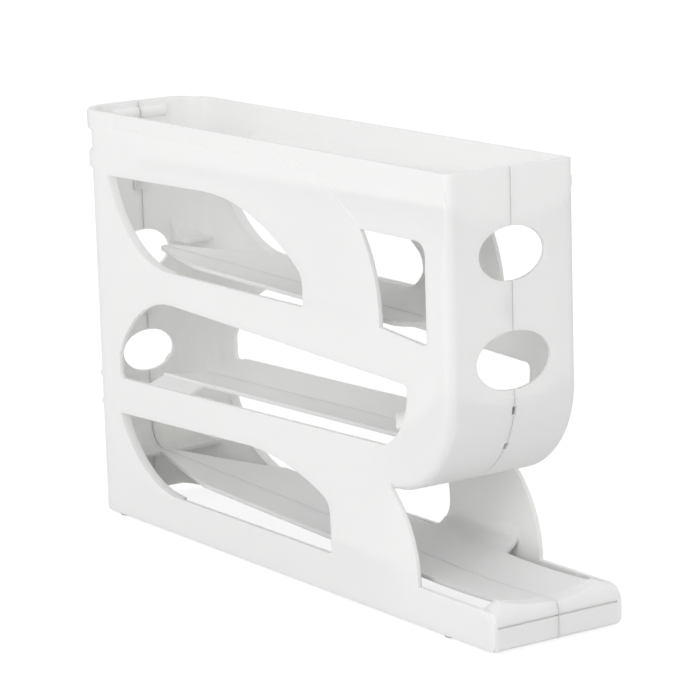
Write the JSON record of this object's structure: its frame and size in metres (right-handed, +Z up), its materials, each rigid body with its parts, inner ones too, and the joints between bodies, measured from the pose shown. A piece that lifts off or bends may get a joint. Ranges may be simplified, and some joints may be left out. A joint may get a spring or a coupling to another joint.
{
  "type": "rolling egg dispenser",
  "caption": "Free-standing gravity egg dispenser: an open top tray feeds a zigzag of dished floors inside a slim windowed shell, down to a low dispensing tray.",
  "frame": {"origin": "centre of the footprint, on the plane that the four soft feet stand on", "axes": "+X forward along the length to the dispensing tray, +Y to the left, +Z up"},
  "size_m": [0.3524, 0.072, 0.2112],
  "materials": {
    "shell": "satin",
    "foot": "matte"
  },
  "bodies": {
    "right_half": {"right_half_shell": "shell", "foot_pad_rear_right": "foot", "foot_pad_front_right": "foot"},
    "left_half": {"left_half_shell": "shell", "foot_pad_rear_left": "foot", "foot_pad_front_left": "foot"}
  },
  "joints": [
    {"name": "left_half_pull_off", "type": "slide", "parent": "right_half", "child": "left_half", "axis": [0, 1, 0], "range_m": [0, 0.06]}
  ]
}
